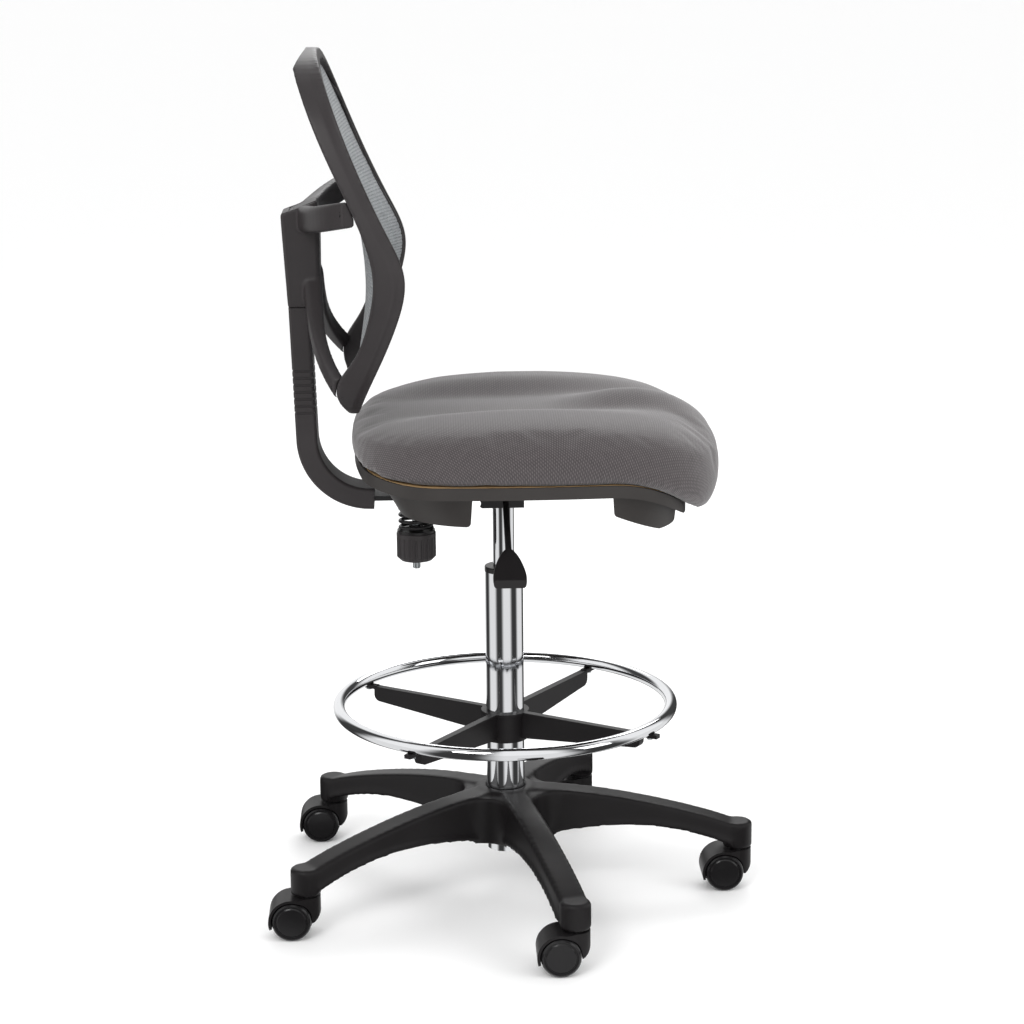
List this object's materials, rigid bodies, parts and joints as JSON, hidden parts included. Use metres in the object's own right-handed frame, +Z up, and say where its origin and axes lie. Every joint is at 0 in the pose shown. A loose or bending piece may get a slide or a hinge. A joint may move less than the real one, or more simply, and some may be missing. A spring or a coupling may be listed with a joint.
{
  "type": "drafting chair",
  "caption": "High swivel chair with a padded seat, reclining mesh back, gas lift, height-adjustable foot ring and a caster base.",
  "frame": {"origin": "on the floor under the axis of the column", "axes": "+X towards the chair's front, +Y towards the sitter's left, +Z up"},
  "size_m": [0.6339, 0.6326, 1.1072],
  "materials": {
    "base_nylon": "satin moulded glass-filled nylon",
    "wheel_nylon": "polished black nylon",
    "chrome": "mirror chrome on steel tube",
    "ground_steel": "ground steel",
    "zinc_steel": "bright zinc plating",
    "black_steel": "black powder coat",
    "bush_plastic": "black acetal",
    "shell_plastic": "satin moulded polypropylene",
    "back_plastic": "satin moulded nylon",
    "mesh_fabric": "knitted polyester mesh",
    "seat_fabric": "woven twill upholstery over foam",
    "plywood": "beech plywood"
  },
  "bodies": {
    "base": {"base_star": "base_nylon", "stem_sockets": "zinc_steel", "column_tube": "chrome", "guide_bush": "bush_plastic", "thrust_bearing": "ground_steel"},
    "footrest": {"foot_ring": "chrome", "ring_spider": "base_nylon", "ring_screws": "zinc_steel"},
    "lift_rod": {"piston_rod": "ground_steel", "rod_clip": "ground_steel"},
    "seat": {"gas_cylinder": "chrome", "cylinder_seal": "bush_plastic", "mechanism_housing": "black_steel", "taper_socket": "black_steel", "mechanism_bolts": "zinc_steel", "pivot_pin": "zinc_steel", "tilt_screw": "zinc_steel", "lever_bush": "bush_plastic", "seat_shell": "shell_plastic", "seat_board": "plywood", "board_inserts": "zinc_steel", "shell_screws": "zinc_steel", "seat_cushion": "seat_fabric"},
    "lever": {"lift_lever": "black_steel", "lever_paddle": "bush_plastic"},
    "release": {"release_pin": "ground_steel"},
    "recline_bar": {"back_bar": "black_steel", "hinge_bracket": "black_steel", "bar_cover": "back_plastic", "cover_screws": "black_steel"},
    "spring_seat": {"spring_washer": "bush_plastic", "tilt_spring": "black_steel"},
    "knob": {"tilt_knob": "back_plastic"},
    "backrest": {"back_frame": "back_plastic", "back_mesh": "mesh_fabric", "mesh_trim": "back_plastic", "back_bracket": "back_plastic", "bracket_cap": "back_plastic", "frame_screws": "zinc_steel"},
    "caster_1": {"caster_hood_1": "base_nylon", "caster_stem_1": "ground_steel", "caster_axle_1": "ground_steel"},
    "wheels_1": {"caster_wheels_1": "wheel_nylon"},
    "caster_2": {"caster_hood_2": "base_nylon", "caster_stem_2": "ground_steel", "caster_axle_2": "ground_steel"},
    "wheels_2": {"caster_wheels_2": "wheel_nylon"},
    "caster_3": {"caster_hood_3": "base_nylon", "caster_stem_3": "ground_steel", "caster_axle_3": "ground_steel"},
    "wheels_3": {"caster_wheels_3": "wheel_nylon"},
    "caster_4": {"caster_hood_4": "base_nylon", "caster_stem_4": "ground_steel", "caster_axle_4": "ground_steel"},
    "wheels_4": {"caster_wheels_4": "wheel_nylon"},
    "caster_5": {"caster_hood_5": "base_nylon", "caster_stem_5": "ground_steel", "caster_axle_5": "ground_steel"},
    "wheels_5": {"caster_wheels_5": "wheel_nylon"}
  },
  "joints": [
    {"name": "footrest_height", "type": "slide", "parent": "base", "child": "footrest", "axis": [0, 0, 1], "range_m": [-0.055, 0.1]},
    {"name": "seat_swivel", "type": "hinge", "parent": "base", "child": "lift_rod", "pos_m": [0, 0, 0.06], "axis": [0, 0, 1], "continuous": true},
    {"name": "seat_height", "type": "slide", "parent": "lift_rod", "child": "seat", "axis": [0, 0, 1], "range_m": [-0.065, 0.185]},
    {"name": "lever_lift", "type": "hinge", "parent": "seat", "child": "lever", "pos_m": [0, -0.0335, 0.556], "axis": [-1, 0, 0], "range_deg": [0, 5], "stiffness_Nm_per_rad": 8, "springref_deg": -5.73},
    {"name": "release_press", "type": "slide", "parent": "seat", "child": "release", "axis": [0, 0, -1], "range_m": [0, 0.0032]},
    {"name": "back_recline", "type": "hinge", "parent": "seat", "child": "recline_bar", "pos_m": [-0.062, 0, 0.551], "axis": [0, -1, 0], "range_deg": [0, 12], "stiffness_Nm_per_rad": 60, "springref_deg": -11.46},
    {"name": "tension_travel", "type": "slide", "parent": "seat", "child": "spring_seat", "axis": [0, 0, 1], "range_m": [-0.003, 0.006], "deforming": ["tilt_spring"]},
    {"name": "tension_turn", "type": "hinge", "parent": "spring_seat", "child": "knob", "pos_m": [-0.113, 0, 0.47], "axis": [0, 0, 1], "range_deg": [-720, 1440]},
    {"name": "back_height", "type": "slide", "parent": "recline_bar", "child": "backrest", "axis": [-0.0314, 0, 0.9995], "range_m": [0, 0.06]},
    {"name": "caster_swivel_1", "type": "hinge", "parent": "base", "child": "caster_1", "pos_m": [0.30615, -0.02141, 0.054], "axis": [0, 0, 1], "continuous": true},
    {"name": "wheel_roll_1", "type": "hinge", "parent": "caster_1", "child": "wheels_1", "pos_m": [0.28765, -0.02141, 0.025], "axis": [0, 1, 0], "continuous": true},
    {"name": "caster_swivel_2", "type": "hinge", "parent": "base", "child": "caster_2", "pos_m": [0.11497, 0.28455, 0.054], "axis": [0, 0, 1], "continuous": true},
    {"name": "wheel_roll_2", "type": "hinge", "parent": "caster_2", "child": "wheels_2", "pos_m": [0.09647, 0.28455, 0.025], "axis": [0, 1, 0], "continuous": true},
    {"name": "caster_swivel_3", "type": "hinge", "parent": "base", "child": "caster_3", "pos_m": [-0.2351, 0.19727, 0.054], "axis": [0, 0, 1], "continuous": true},
    {"name": "wheel_roll_3", "type": "hinge", "parent": "caster_3", "child": "wheels_3", "pos_m": [-0.2536, 0.19727, 0.025], "axis": [0, 1, 0], "continuous": true},
    {"name": "caster_swivel_4", "type": "hinge", "parent": "base", "child": "caster_4", "pos_m": [-0.26027, -0.16263, 0.054], "axis": [0, 0, 1], "continuous": true},
    {"name": "wheel_roll_4", "type": "hinge", "parent": "caster_4", "child": "wheels_4", "pos_m": [-0.27877, -0.16263, 0.025], "axis": [0, 1, 0], "continuous": true},
    {"name": "caster_swivel_5", "type": "hinge", "parent": "base", "child": "caster_5", "pos_m": [0.07425, -0.29778, 0.054], "axis": [0, 0, 1], "continuous": true},
    {"name": "wheel_roll_5", "type": "hinge", "parent": "caster_5", "child": "wheels_5", "pos_m": [0.05575, -0.29778, 0.025], "axis": [0, 1, 0], "continuous": true}
  ],
  "couplings": [
    {"joint": "release_press", "follows": "lever_lift", "m_per_rad": 0.0335},
    {"joint": "tension_turn", "follows": "tension_travel", "rad_per_m": 4188.8}
  ]
}
